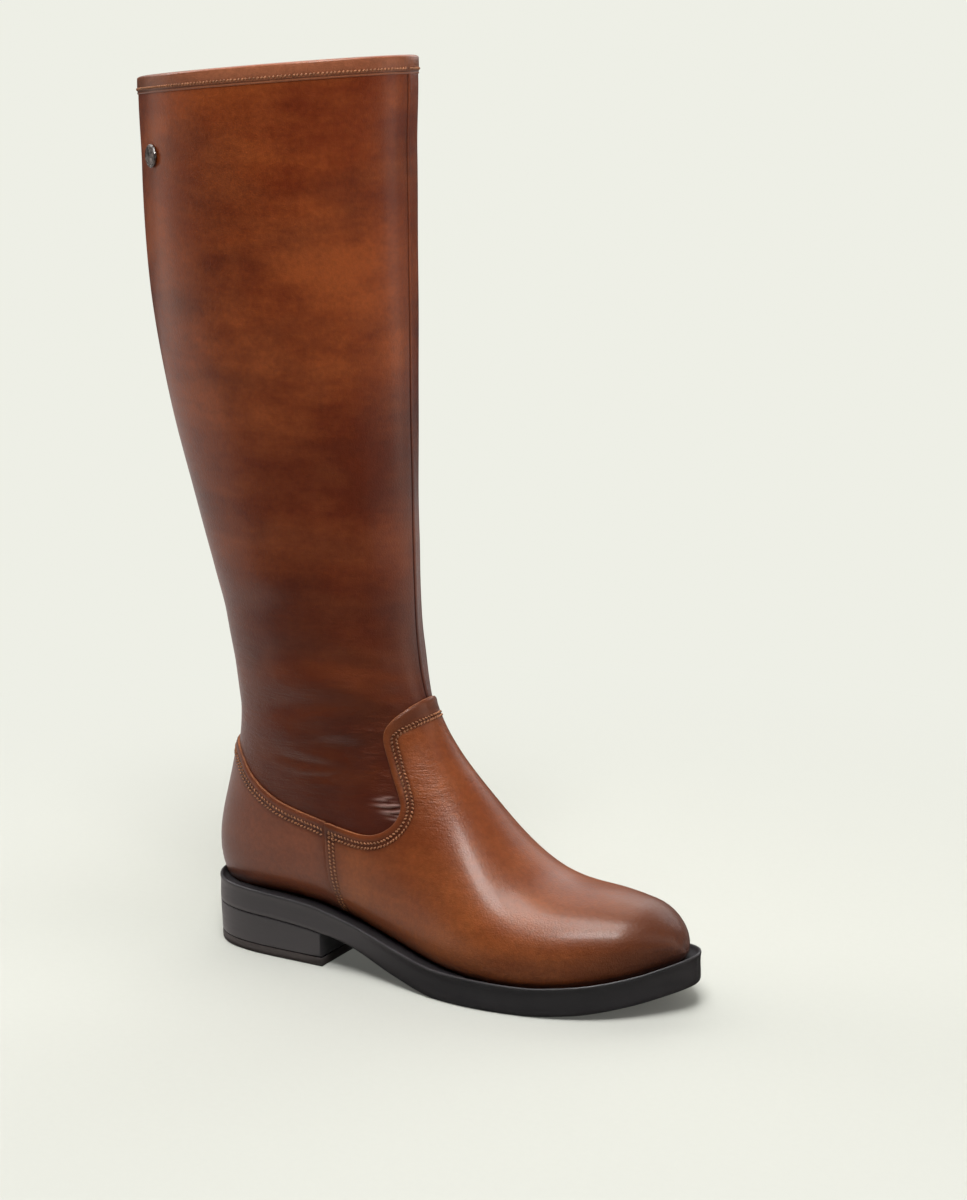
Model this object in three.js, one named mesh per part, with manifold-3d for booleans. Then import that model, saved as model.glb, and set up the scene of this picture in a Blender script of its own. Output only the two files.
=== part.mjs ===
// A knee-high riding boot, the right boot of a pair, standing empty on its sole.
// Millimetres. +X runs to the toe, +Y to the wearer's left (the medial side), +Z up.
// The origin is the middle of the heel's ground face.
import * as THREE from "three";
import { mergeVertices } from "three/addons/utils/BufferGeometryUtils.js";
import Module from "manifold-3d";

const wasm = await Module();
wasm.setup();

// ---------------------------------------------------------------- driving sizes
const LENGTH = 262;          // sole, from the back of the heel to the toe tip
const BALL_WIDTH = 92;       // sole across the ball
const INSTEP_HEIGHT = 131;   // floor to the front of the ankle, where the shaft starts
const HEEL_HEIGHT = 26;      // floor to the underside of the upper at the heel
const BOOT_HEIGHT = 442;     // floor to the collar at the front
const HEEL_LENGTH = 75;      // back of the sole to the heel's breast
const HEEL_CENTRE = HEEL_LENGTH / 2;

const GAP = 0.3;             // between pieces that meet
const WALL = 2.2;            // the upper: leather and lining
const OVERLAY = 1.3;         // vamp and counter leather
const BINDING = 1.2;         // collar binding leather
const BINDING_HEIGHT = 7.2;
const LAST_MARGIN = 16;      // sole's edge to the opening under the upper
const OPENING_RISE = 12;     // the opening's cut, above the underside
const INSOLE = 3.2;
const LIFT = 4.6;            // rubber top piece of the heel
const LIP_WIDTH = 1.8;       // raised edge around the top of the sole
const LEDGE_DROP = 2;        // from the lip down to the ledge inside it
const STUD_RADIUS = 6;
const STUD_THICKNESS = 1.6;
const STUD_DROP = 37;        // its middle, below the collar
const STUD_TURN = 0.36;      // share of the way round, from the front by the lateral side

const AROUND = 36;           // points round a section of the last
const TOE_RINGS = 5;
const LAST_RINGS = 30;
const SOLE_STEPS = 34;       // stations along a whole sole

// ---------------------------------------------------------------- the last
// Sizes of the pattern boot, which the tables below are drawn for.
const PATTERN = { length: 262, ball: 92, heel: 26, instep: 131, height: 442 };

// Sections fan from upright slices of the toe, round the instep, to level rings of the
// shaft. Each has a front (or top) point and a back (or bottom) point, in mm from the
// back of the sole and from the floor, a half width to each side, the middle's offset,
// where along it is widest (0 at its front, 1 at its back) and how square its two ends are.
const LAST = table(
  "frontX frontZ backX backZ lateral medial middle widest frontPower backPower", [
    [232, 47.0, 232, 12, 29.5, 29.0, 1.5, 0.50, 2.1, 2.6],
    [216, 49.6, 215, 8, 37.5, 35.5, 1.0, 0.54, 2.05, 2.8],
    [199, 51.8, 194, 6, 43.0, 38.5, 0.0, 0.57, 2.0, 2.9],
    [182, 57.2, 170, 6, 45.0, 39.5, -0.5, 0.59, 2.0, 2.9],
    [166, 69.0, 144, 8, 42.5, 37.5, -0.5, 0.60, 2.05, 2.8],
    [151, 84.8, 114, 14, 36.5, 33.5, 0.0, 0.60, 2.1, 2.7],
    [137.5, 100.2, 80, 23, 33.0, 31.0, 0.0, 0.57, 2.1, 2.6],
    [127.4, 113.8, 40, 26, 31.5, 30.5, 0.0, 0.53, 2.1, 2.5],
    [121.6, 124.4, 9, 27.5, 31.0, 30.5, 0.0, 0.50, 2.1, 2.3],
    [118.4, 131.5, 0.6, 46, 31.5, 31.0, 0.0, 0.48, 2.1, 2.2],
    [116.2, 138, 5.6, 77, 32.5, 32.0, 0.0, 0.48, 2.1, 2.1],
    [114.2, 148, 13.4, 112, 33.5, 33.0, 0.0, 0.48, 2.1, 2.1],
    [112.2, 165, 10.5, 148, 33.5, 33.5, 0.0, 0.49, 2.05, 2.1],
    [110.2, 200, -1.0, 194, 36.0, 36.0, 0.0, 0.5, 2.0, 2.05],
    [109.6, 245, -14, 240, 39.5, 39.5, 0.0, 0.5, 2.0, 2.0],
    [109.4, 300, -27, 294, 45.0, 45.0, 0.0, 0.5, 2.0, 2.0],
    [109.2, 360, -33.6, 352, 49.5, 49.5, 0.0, 0.5, 2.0, 2.0],
    [108.4, 440.6, -34, 429.6, 50.0, 50.0, 0.0, 0.5, 2.0, 2.0],
  ]);
const TOE_CAP = 22.9;        // from the first section to the toe's tip
const TOE_TIP = 28;          // its height

// The sole in plan: half widths either side of the foot's middle line.
const PLAN_LATERAL = table("along out", [
  [0, 0], [4, 16], [16, 27.5], [40, 33], [75, 34.5], [110, 38.5], [150, 47.5],
  [180, 48.5], [210, 42.5], [236, 30], [253, 14], [262, -3],
]);
const PLAN_MEDIAL = table("along out", [
  [0, 0], [4, 14.5], [14, 24], [34, 29], [60, 29.5], [95, 28.5], [130, 34], [165, 42],
  [195, 43.5], [225, 37.5], [246, 27.5], [258, 14.5], [262, 3],
]);
// The sole from the side: its underside and the lip round its top.
const SOLE_SIDE = table("along under lip", [
  [0, 21, 34], [40, 20.5, 33], [64, 19, 31.5], [90, 14.5, 26.5], [120, 5, 19],
  [148, 0, 14.8], [192, 0, 14.2], [215, 1.6, 16], [240, 6.2, 20.5], [262, 12, 27],
]);

// Edges of the overlays, seen from the side.
const VAMP_EDGE = table("along height", [
  [124, 137.5], [117.5, 134.5], [109, 127], [105.3, 121], [105.5, 114], [110, 102.5],
  [116, 91], [117.8, 84.5], [115, 78], [108, 73], [99, 71.2], [87, 72.6], [77.5, 74.5],
]);
const COUNTER_EDGE = table("along height", [
  [77.5, 74.5], [63, 77.8], [51, 81.6], [41, 87], [33, 93], [26.5, 99.5], [18, 105], [0, 107.5],
  [-12, 108],
]);
const SIDE_SEAM = table("along height", [[79.5, 50], [83, 26], [84, 0]]);
const EDGE_STEPS = 3;        // straight steps between two knots of an overlay's edge

// ---------------------------------------------------------------- tables and splines
function table(columns, rows) {
  const names = columns.split(" ");
  return rows.map(row => Object.fromEntries(names.map((name, i) => [name, row[i]])));
}

// A smooth curve through knots, with free ends that run on straight.
function smooth(knots, values) {
  const last = knots.length - 1;
  const span = knots.slice(1).map((knot, i) => knot - knots[i]);
  const slope = span.map((width, i) => (values[i + 1] - values[i]) / width);
  const bend = new Array(last + 1).fill(0);
  const upper = new Array(last + 1).fill(0);
  for (let i = 1; i < last; i++) {
    const pivot = 2 * (span[i - 1] + span[i]) - span[i - 1] * upper[i - 1];
    upper[i] = span[i] / pivot;
    bend[i] = (6 * (slope[i] - slope[i - 1]) - span[i - 1] * bend[i - 1]) / pivot;
  }
  for (let i = last - 1; i > 0; i--) bend[i] -= upper[i] * bend[i + 1];
  return at => {
    if (at < knots[0]) {
      return values[0] + (slope[0] - span[0] * bend[1] / 6) * (at - knots[0]);
    }
    if (at > knots[last]) {
      const end = slope[last - 1] + span[last - 1] * bend[last - 1] / 6;
      return values[last] + end * (at - knots[last]);
    }
    const i = Math.max(0, knots.findIndex(knot => knot >= at) - 1);
    const before = (knots[i + 1] - at) / span[i];
    const after = 1 - before;
    const curve = (before ** 3 - before) * bend[i] + (after ** 3 - after) * bend[i + 1];
    return before * values[i] + after * values[i + 1] + curve * span[i] ** 2 / 6;
  };
}

// A curve through knots that never overshoots, so that a level run stays level.
function steady(knots, values) {
  const slope = knots.slice(1).map((knot, i) => (values[i + 1] - values[i]) / (knot - knots[i]));
  const tangent = knots.map((knot, i) => {
    if (i === 0) return slope[0];
    if (i === knots.length - 1) return slope[i - 1];
    const product = slope[i - 1] * slope[i];
    return product > 0 ? 2 * product / (slope[i - 1] + slope[i]) : 0;
  });
  return at => {
    const inside = knots.findIndex(knot => knot >= at) - 1;
    const i = Math.max(0, at >= knots.at(-1) ? knots.length - 2 : inside);
    const width = knots[i + 1] - knots[i];
    const t = Math.min(Math.max((at - knots[i]) / width, 0), 1);
    const back = (1 - t) ** 2;
    const ahead = t ** 2;
    return (1 + 2 * t) * back * values[i] + t * back * width * tangent[i]
      + (3 - 2 * t) * ahead * values[i + 1] - (1 - t) * ahead * width * tangent[i + 1];
  };
}

// The pattern's sizes, graded to the driving sizes.
const gradeX = x => x * LENGTH / PATTERN.length - HEEL_CENTRE;
const gradeY = y => y * BALL_WIDTH / PATTERN.ball;
const gradeZ = steady(
  [0, PATTERN.heel, PATTERN.instep, PATTERN.height, 2 * PATTERN.height],
  [0, HEEL_HEIGHT, INSTEP_HEIGHT, BOOT_HEIGHT, 2 * BOOT_HEIGHT],
);

// ---------------------------------------------------------------- the last's surface
const SECTIONS = LAST.map(row => ({
  ...row,
  frontX: gradeX(row.frontX),
  backX: gradeX(row.backX),
  frontZ: gradeZ(row.frontZ),
  backZ: gradeZ(row.backZ),
  lateral: gradeY(row.lateral),
  medial: gradeY(row.medial),
  middle: gradeY(row.middle),
}));

// Stations are measured along the line of the sections' middles.
const STATIONS = SECTIONS.reduce((stations, row, i) => {
  const before = SECTIONS[Math.max(0, i - 1)];
  const x = (row.frontX + row.backX - before.frontX - before.backX) / 2;
  const z = (row.frontZ + row.backZ - before.frontZ - before.backZ) / 2;
  return [...stations, (stations.at(-1) ?? 0) + Math.hypot(x, z)];
}, []);
const COLLAR = STATIONS.at(-1);
const COLUMNS = Object.keys(SECTIONS[0]).map(name => [
  name, smooth(STATIONS, SECTIONS.map(row => row[name])),
]);

function sectionAt(station) {
  return Object.fromEntries(COLUMNS.map(([name, column]) => [name, column(station)]));
}

// A ring of points round the last, `out` mm outside the upper's own surface. Angle 0 is
// at the front, a quarter turn on is the lateral side. Below station 0 lies the toe cap.
function ring(station, out) {
  const turn = Math.min(Math.max(-station / TOE_CAP, 0), 1) * Math.PI / 2;
  const shrink = Math.cos(turn);
  const row = sectionAt(station < 0 ? -(TOE_CAP + out) * Math.sin(turn) : station);
  const front = new THREE.Vector2(row.frontX, row.frontZ);
  const back = new THREE.Vector2(row.backX, row.backZ);
  const grow = front.clone().sub(back).setLength(out);
  front.add(grow);
  back.sub(grow);
  const middle = front.clone().lerp(back, row.widest);
  const points = [];
  for (let i = 0; i < AROUND; i++) {
    const angle = i / AROUND * 2 * Math.PI;
    const ahead = Math.cos(angle);
    const aside = Math.sin(angle);
    const power = ahead > 0 ? row.frontPower : row.backPower;
    const reach = (Math.abs(ahead) ** power + Math.abs(aside) ** power) ** (-1 / power);
    const end = middle.clone().lerp(ahead > 0 ? front : back, Math.abs(ahead) * reach);
    const half = (aside > 0 ? row.lateral : row.medial) + out;
    const z = gradeZ(TOE_TIP) + (end.y - gradeZ(TOE_TIP)) * shrink;
    points.push([end.x, row.middle - half * aside * reach * shrink, station < 0 ? z : end.y]);
  }
  return points;
}

const TOE_STATIONS = Array.from({ length: TOE_RINGS - 1 }, (_, i) => (
  -TOE_CAP * (1 - (i + 1) / TOE_RINGS)
));
const BODY_STATIONS = Array.from({ length: LAST_RINGS }, (_, i) => (
  COLLAR * i / (LAST_RINGS - 1)
));

// ---------------------------------------------------------------- solids
function solid(points, triangles) {
  const geometry = new THREE.BufferGeometry();
  geometry.setAttribute("position", new THREE.Float32BufferAttribute(points.flat(), 3));
  geometry.setIndex(triangles.flat());
  return toManifold(geometry);
}

function toManifold(geometry) {
  const plain = geometry.clone();
  plain.deleteAttribute("normal");
  plain.deleteAttribute("uv");
  const merged = mergeVertices(plain, 1e-4);
  return new wasm.Manifold(new wasm.Mesh({
    numProp: 3,
    vertProperties: new Float32Array(merged.attributes.position.array),
    triVerts: new Uint32Array(merged.index.array),
  }));
}

function toGeometry(body) {
  const mesh = body.getMesh();
  const geometry = new THREE.BufferGeometry();
  geometry.setAttribute("position", new THREE.BufferAttribute(mesh.vertProperties, 3));
  geometry.setIndex(new THREE.BufferAttribute(mesh.triVerts, 1));
  geometry.computeVertexNormals();
  return geometry;
}

// The two triangles of each step between neighbouring rings of points.
function ringFaces(rings, around) {
  const triangles = [];
  for (let i = 0; i < (rings - 1) * around; i++) {
    const next = i % around === around - 1 ? i + 1 - around : i + 1;
    triangles.push([i, next + around, next], [i, i + around, next + around]);
  }
  return triangles;
}

// Rings joined in order, drawn to one point before the first and after the last.
function loft(rings, ends = [rings[0], rings.at(-1)].map(middleOf)) {
  const around = rings[0].length;
  const points = [...rings.flat(), ...ends];
  const triangles = ringFaces(rings.length, around);
  const start = rings.length * around;
  for (let j = 0; j < around; j++) {
    const next = (j + 1) % around;
    const top = start - around;
    triangles.push([j, next, start], [top + next, top + j, start + 1]);
  }
  return solid(points, triangles);
}

function middleOf(points) {
  return [0, 1, 2].map(axis => points.reduce((sum, p) => sum + p[axis], 0) / points.length);
}

// The whole last, `out` mm outside the upper's surface, up to a station.
function lastForm(out, top = COLLAR) {
  const stations = [...TOE_STATIONS, ...BODY_STATIONS];
  if (top > COLLAR) stations.push(top);
  const rings = stations.map(station => ring(station, out));
  return loft(rings, [middleOf(ring(-TOE_CAP, out)), middleOf(rings.at(-1))]);
}

// A smooth line through the knots of an overlay's edge, in the row's frame.
function edgeLine(knots) {
  const points = knots.map(({ along, height }) => new THREE.Vector2(gradeX(along), gradeZ(height)));
  return new THREE.SplineCurve(points).getPoints((points.length - 1) * EDGE_STEPS);
}

// A side view cut out of whatever it meets.
function sideCut(outline) {
  const shape = new THREE.Shape(outline);
  const depth = 2 * BALL_WIDTH;
  const block = new THREE.ExtrudeGeometry(shape, { depth, bevelEnabled: false });
  block.rotateX(Math.PI / 2);
  block.translate(0, depth / 2, 0);
  return toManifold(block);
}

// ---------------------------------------------------------------- the sole's outline
// Both sides are drawn against a turn that is 0 at the heel's back and PI at the toe's
// tip, which rounds both ends.
const turnAt = along => Math.acos(1 - 2 * along / PATTERN.length);
const alongAt = turn => PATTERN.length * (1 - Math.cos(turn)) / 2;
const [lateralEdge, medialEdge] = [PLAN_LATERAL, PLAN_MEDIAL].map(rows => (
  smooth(rows.map(row => turnAt(row.along)), rows.map(row => row.out))
));
const [underside, lip] = ["under", "lip"].map(name => (
  steady(SOLE_SIDE.map(row => row.along), SOLE_SIDE.map(row => row[name]))
));

// The outline from the heel's back to `to`, moved in by `inset`: up the lateral side,
// then back down the medial side.
function soleOutline(inset, to) {
  const steps = Math.round(SOLE_STEPS * turnAt(to) / Math.PI) + 3;
  const sides = [[lateralEdge, -1], [medialEdge, 1]].map(([edge, side]) => (
    Array.from({ length: steps + 1 }, (_, i) => {
      const turn = turnAt(to) * i / steps;
      const step = 1e-3;
      const ahead = alongAt(turn + step) - alongAt(turn - step);
      const aside = edge(turn + step) - edge(turn - step);
      const size = Math.hypot(ahead, aside);
      const whole = turn < 1e-6 || to === PATTERN.length && turn > Math.PI - 1e-6;
      const along = alongAt(turn) + (whole ? Math.sign(1.5 - turn) * inset : aside / size * inset);
      const out = edge(turn) - (whole ? 0 : ahead / size * inset);
      return { along, out: side * out };
    })
  ));
  return [...sides[0], ...sides[1].reverse()];
}

// A slab with the sole's outline, made of layers: each has an inset and a height.
function slab(layers, to = PATTERN.length) {
  const outlines = layers.map(([inset]) => soleOutline(inset, to));
  const around = outlines[0].length;
  const points = outlines.flatMap((outline, i) => outline.map(({ along, out }) => (
    [gradeX(along), gradeY(out), layers[i][1](along)]
  )));
  const triangles = ringFaces(layers.length, around).map(face => face.reverse());
  const top = (layers.length - 1) * around;
  for (let j = 0; j + 1 < around / 2; j++) {
    const k = around - 1 - j;
    triangles.push([j + 1, j, k], [j + 1, k, k - 1]);
    triangles.push([top + j, top + j + 1, top + k], [top + j + 1, top + k - 1, top + k]);
  }
  return solid(points, triangles);
}

// ---------------------------------------------------------------- the pieces
const seatHeight = steady(
  SECTIONS.slice(0, 8).map(row => row.backX).reverse(),
  SECTIONS.slice(0, 8).map(row => row.backZ).reverse(),
);
const overlayFace = GAP + OVERLAY;
const level = height => () => height;

// What is left open under the upper, inside the lasting margin.
const underOpening = slab([
  [LAST_MARGIN, level(-10)],
  [LAST_MARGIN, along => seatHeight(gradeX(along)) + OPENING_RISE],
]);

const shell = lastForm(0)
  .subtract(lastForm(-WALL, COLLAR + 5))
  .subtract(underOpening);

const overlays = lastForm(overlayFace)
  .subtract(lastForm(GAP))
  .subtract(underOpening);

const vampLine = edgeLine(VAMP_EDGE);
const counterLine = edgeLine(COUNTER_EDGE);
const seamLine = edgeLine([VAMP_EDGE.at(-1), ...SIDE_SEAM]);
const [BELOW, AHEAD, BEHIND] = [-20, LENGTH, -2 * HEEL_CENTRE];

function vamp() {
  return overlays.intersect(sideCut([
    ...vampLine,
    ...seamLine.slice(1),
    new THREE.Vector2(seamLine.at(-1).x, BELOW),
    new THREE.Vector2(AHEAD, BELOW),
    new THREE.Vector2(AHEAD, vampLine[0].y),
  ]));
}

function heelCounter() {
  const outline = [
    ...counterLine,
    new THREE.Vector2(BEHIND, counterLine.at(-1).y),
    new THREE.Vector2(BEHIND, BELOW),
    new THREE.Vector2(seamLine.at(-1).x, BELOW),
    ...seamLine.slice(1).reverse(),
  ];
  return overlays.intersect(sideCut(outline.map(({ x, y }) => new THREE.Vector2(x - GAP, y))));
}

// A band folded over the collar's edge: outside, top and inside, then back along the wall.
function collarBinding() {
  const low = COLLAR - BINDING_HEIGHT;
  const high = COLLAR + GAP;
  const [outer, inner] = [GAP, -WALL - GAP];
  const fold = [
    [low, outer], [low, outer + BINDING], [high + BINDING, outer + BINDING],
    [high + BINDING, inner - BINDING], [low, inner - BINDING], [low, inner],
    [high, inner], [high, outer], [low, outer],
  ];
  const rings = fold.map(([station, out]) => ring(station, out));
  return solid(rings.flat(), ringFaces(rings.length, AROUND));
}

function insole() {
  return lastForm(-WALL - GAP).intersect(slab([
    [0, level(-10)],
    [0, along => seatHeight(gradeX(along)) + WALL + GAP + INSOLE],
  ]));
}

function outsole() {
  const bottom = along => underside(along);
  return slab([
    [1.6, bottom],
    [0.2, along => bottom(along) + 1.4],
    [0, along => lip(along) - 1],
    [0.6, lip],
    [0.6 + LIP_WIDTH, lip],
    [1.4 + LIP_WIDTH, along => lip(along) - LEDGE_DROP],
  ]).subtract(lastForm(overlayFace + GAP));
}

function heelBlock() {
  return slab([
    [0.6, level(LIFT + GAP)],
    [0.2, along => underside(along) - GAP],
  ], HEEL_LENGTH);
}

function heelLift() {
  return slab([
    [1.3, level(0)],
    [0.6, level(0.8)],
    [0.6, level(LIFT)],
  ], HEEL_LENGTH);
}

// A plain round stud on the lateral back of the shaft, under the collar.
function stud() {
  const station = COLLAR - STUD_DROP;
  const place = Math.round(AROUND * STUD_TURN);
  const here = new THREE.Vector3(...ring(station, GAP)[place]);
  const above = new THREE.Vector3(...ring(station + 1, GAP)[place]).sub(here);
  const beside = new THREE.Vector3(...ring(station, GAP)[place + 1])
    .sub(new THREE.Vector3(...ring(station, GAP)[place - 1]));
  const outward = beside.cross(above).normalize();
  if (outward.y > 0) outward.negate();
  const disc = new THREE.CylinderGeometry(STUD_RADIUS - 0.6, STUD_RADIUS, STUD_THICKNESS, 32);
  disc.translate(0, STUD_THICKNESS / 2, 0);
  disc.applyQuaternion(new THREE.Quaternion().setFromUnitVectors(
    new THREE.Vector3(0, 1, 0), outward,
  ));
  disc.translate(here.x, here.y, here.z);
  return toManifold(disc);
}

// ---------------------------------------------------------------- the boot
const leather = (color, roughness) => ({ color, roughness, metalness: 0 });
const PIECES = [
  ["upper", shell, leather(0x6e361c, 0.42)],
  ["vamp", vamp(), leather(0x7f4526, 0.4)],
  ["heel_counter", heelCounter(), leather(0x6b341c, 0.42)],
  ["collar_binding", collarBinding(), leather(0x7a4630, 0.45)],
  ["insole", insole(), leather(0xa98660, 0.8)],
  ["outsole", outsole(), leather(0x2e2a28, 0.5)],
  ["heel_block", heelBlock(), leather(0x312c2a, 0.5)],
  ["heel_lift", heelLift(), leather(0x3b3330, 0.6)],
  ["stud", stud(), { color: 0x5c5957, roughness: 0.3, metalness: 1 }],
];

const boot = new THREE.Group();
for (const [name, body, look] of PIECES) {
  const mesh = new THREE.Mesh(toGeometry(body), new THREE.MeshStandardMaterial(look));
  mesh.name = name;
  boot.add(mesh);
}

export default boot;
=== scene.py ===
"""Knee-high riding boot: leather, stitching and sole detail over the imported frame.

Sizes are in millimetres from the back of the sole and from the floor, as a shoemaker
draws a pattern, and are placed in the frame by `placed`. Lateral is -y, medial is +y.
"""
import math

import bpy
import numpy as np
from mathutils import Matrix, Vector
from mathutils.bvhtree import BVHTree
from mathutils.kdtree import KDTree


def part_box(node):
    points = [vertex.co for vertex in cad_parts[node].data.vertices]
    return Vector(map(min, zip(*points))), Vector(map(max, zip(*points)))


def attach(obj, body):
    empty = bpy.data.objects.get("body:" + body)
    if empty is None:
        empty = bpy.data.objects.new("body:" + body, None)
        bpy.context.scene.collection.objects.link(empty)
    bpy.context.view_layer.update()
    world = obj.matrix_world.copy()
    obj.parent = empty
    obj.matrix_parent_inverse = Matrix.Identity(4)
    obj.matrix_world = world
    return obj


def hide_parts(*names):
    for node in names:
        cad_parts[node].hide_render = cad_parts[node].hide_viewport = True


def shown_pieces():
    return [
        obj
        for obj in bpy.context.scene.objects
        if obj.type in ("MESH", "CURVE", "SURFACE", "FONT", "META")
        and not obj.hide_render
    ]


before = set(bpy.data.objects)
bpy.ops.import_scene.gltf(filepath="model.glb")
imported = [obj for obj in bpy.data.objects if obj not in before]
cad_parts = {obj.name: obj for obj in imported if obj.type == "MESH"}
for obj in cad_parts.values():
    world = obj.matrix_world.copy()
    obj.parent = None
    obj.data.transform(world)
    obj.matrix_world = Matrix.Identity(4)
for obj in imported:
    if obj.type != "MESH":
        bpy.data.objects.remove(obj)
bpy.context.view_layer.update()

# ------------------------------------------------------------------ sizes, in mm
PATTERN_LENGTH = 262.0
SOLE_LOW, SOLE_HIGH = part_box("outsole")
SCALE = (SOLE_HIGH[0] - SOLE_LOW[0]) / PATTERN_LENGTH
HEEL_LENGTH = 75.0
GAP = 0.3
OVERLAY = 1.3
WALL = 2.2
BINDING = 1.2
BINDING_HEIGHT = 7.2
LIFT = 4.6
PROUD = GAP + OVERLAY         # an overlay's face, outside the upper

# The last, a section a row from the toe to the collar.
LAST = np.array([
    # front_x, front_z, back_x, back_z, lateral, medial, middle, widest,
    # front_power, back_power
    (232, 47.0, 232, 12, 29.5, 29.0, 1.5, 0.50, 2.1, 2.6),
    (216, 49.6, 215, 8, 37.5, 35.5, 1.0, 0.54, 2.05, 2.8),
    (199, 51.8, 194, 6, 43.0, 38.5, 0.0, 0.57, 2.0, 2.9),
    (182, 57.2, 170, 6, 45.0, 39.5, -0.5, 0.59, 2.0, 2.9),
    (166, 69.0, 144, 8, 42.5, 37.5, -0.5, 0.60, 2.05, 2.8),
    (151, 84.8, 114, 14, 36.5, 33.5, 0.0, 0.60, 2.1, 2.7),
    (137.5, 100.2, 80, 23, 33.0, 31.0, 0.0, 0.57, 2.1, 2.6),
    (127.4, 113.8, 40, 26, 31.5, 30.5, 0.0, 0.53, 2.1, 2.5),
    (121.6, 124.4, 9, 27.5, 31.0, 30.5, 0.0, 0.50, 2.1, 2.3),
    (118.4, 131.5, 0.6, 46, 31.5, 31.0, 0.0, 0.48, 2.1, 2.2),
    (116.2, 138, 5.6, 77, 32.5, 32.0, 0.0, 0.48, 2.1, 2.1),
    (114.2, 148, 13.4, 112, 33.5, 33.0, 0.0, 0.48, 2.1, 2.1),
    (112.2, 165, 10.5, 148, 33.5, 33.5, 0.0, 0.49, 2.05, 2.1),
    (110.2, 200, -1.0, 194, 36.0, 36.0, 0.0, 0.5, 2.0, 2.05),
    (109.6, 245, -14, 240, 39.5, 39.5, 0.0, 0.5, 2.0, 2.0),
    (109.4, 300, -27, 294, 45.0, 45.0, 0.0, 0.5, 2.0, 2.0),
    (109.2, 360, -33.6, 352, 49.5, 49.5, 0.0, 0.5, 2.0, 2.0),
    (108.4, 440.6, -34, 429.6, 50.0, 50.0, 0.0, 0.5, 2.0, 2.0),
])
TOE_CAP = 22.9
TOE_TIP = 28.0

PLAN_LATERAL = np.array([
    (0, 0), (4, 16), (16, 27.5), (40, 33), (75, 34.5), (110, 38.5), (150, 47.5),
    (180, 48.5), (210, 42.5), (236, 30), (253, 14), (262, -3)], float)
PLAN_MEDIAL = np.array([
    (0, 0), (4, 14.5), (14, 24), (34, 29), (60, 29.5), (95, 28.5), (130, 34), (165, 42),
    (195, 43.5), (225, 37.5), (246, 27.5), (258, 14.5), (262, 3)], float)
SOLE_SIDE = np.array([          # along, underside, lip
    (0, 21, 34), (40, 20.5, 33), (64, 19, 31.5), (90, 14.5, 26.5), (120, 5, 19),
    (148, 0, 14.8), (192, 0, 14.2), (215, 1.6, 16), (240, 6.2, 20.5), (262, 12, 27)], float)

VAMP_EDGE = np.array([
    (124, 137.5), (117.5, 134.5), (109, 127), (105.3, 121), (105.5, 114), (110, 102.5),
    (116, 91), (117.8, 84.5), (115, 78), (108, 73), (99, 71.2), (87, 72.6), (77.5, 74.5)])
COUNTER_EDGE = np.array([
    (77.5, 74.5), (63, 77.8), (51, 81.6), (41, 87), (33, 93), (26.5, 99.5), (18, 105),
    (0, 107.5), (-12, 108)])
SIDE_SEAM = np.array([(77.5, 74.5), (79.5, 50), (83, 26), (84, 0)])

STITCH_INSET = 3.8              # an overlay's edge to its outer row of stitches
ROW_SPACING = 2.4
TAB_INSET = 5.2                 # more of it at the tab in front of the ankle
SEAM_ROWS = (2.3, 4.6)          # the side seam's rows, from its edge
STITCH_PITCH = 1.9
STITCH_SLANT = 0.75             # of its width to its length, the rows leaning in by turns
STITCH_LENGTH = 1.6
STITCH_RADIUS = 0.46
STUD_SCALE = 0.93               # its worn disc against the full one


# ------------------------------------------------------------------ curves
def smooth(knots, values):
    """A natural cubic spline through rows of values, running on straight at its ends."""
    knots, values = np.asarray(knots, float), np.asarray(values, float)
    values = values.reshape(len(knots), -1)
    span = np.diff(knots)
    system = np.eye(len(knots))
    right = np.zeros(values.shape)
    for i in range(1, len(knots) - 1):
        system[i, i - 1:i + 2] = span[i - 1], 2 * (span[i - 1] + span[i]), span[i]
        right[i] = 6 * ((values[i + 1] - values[i]) / span[i]
                        - (values[i] - values[i - 1]) / span[i - 1])
    bend = np.linalg.solve(system, right)
    first = (values[1] - values[0]) / span[0] - span[0] * bend[1] / 6
    final = (values[-1] - values[-2]) / span[-1] + span[-1] * bend[-2] / 6

    def at(place):
        place = np.asarray(place, float)
        inside = np.clip(place, knots[0], knots[-1])
        i = np.clip(np.searchsorted(knots, inside) - 1, 0, len(span) - 1)
        width = span[i][..., None]
        before = (knots[i + 1] - inside)[..., None] / width
        after = 1 - before
        curve = (before ** 3 - before) * bend[i] + (after ** 3 - after) * bend[i + 1]
        result = before * values[i] + after * values[i + 1] + curve * width ** 2 / 6
        result += first * np.minimum(place - knots[0], 0)[..., None]
        result += final * np.maximum(place - knots[-1], 0)[..., None]
        return result

    return at


def steady(knots, values):
    """A curve through knots that never overshoots, so a level run stays level."""
    slope = np.diff(values) / np.diff(knots)
    tangent = np.concatenate([slope[:1], np.zeros(len(slope) - 1), slope[-1:]])
    for i in range(1, len(slope)):
        if slope[i - 1] * slope[i] > 0:
            tangent[i] = 2 * slope[i - 1] * slope[i] / (slope[i - 1] + slope[i])

    def at(place):
        i = np.clip(np.searchsorted(knots, place) - 1, 0, len(slope) - 1)
        width = knots[i + 1] - knots[i]
        t = np.clip((place - knots[i]) / width, 0, 1)
        return ((1 + 2 * t) * (1 - t) ** 2 * values[i] + t * (1 - t) ** 2 * width * tangent[i]
                + t ** 2 * (3 - 2 * t) * values[i + 1]
                - t ** 2 * (1 - t) * width * tangent[i + 1])

    return at


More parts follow.
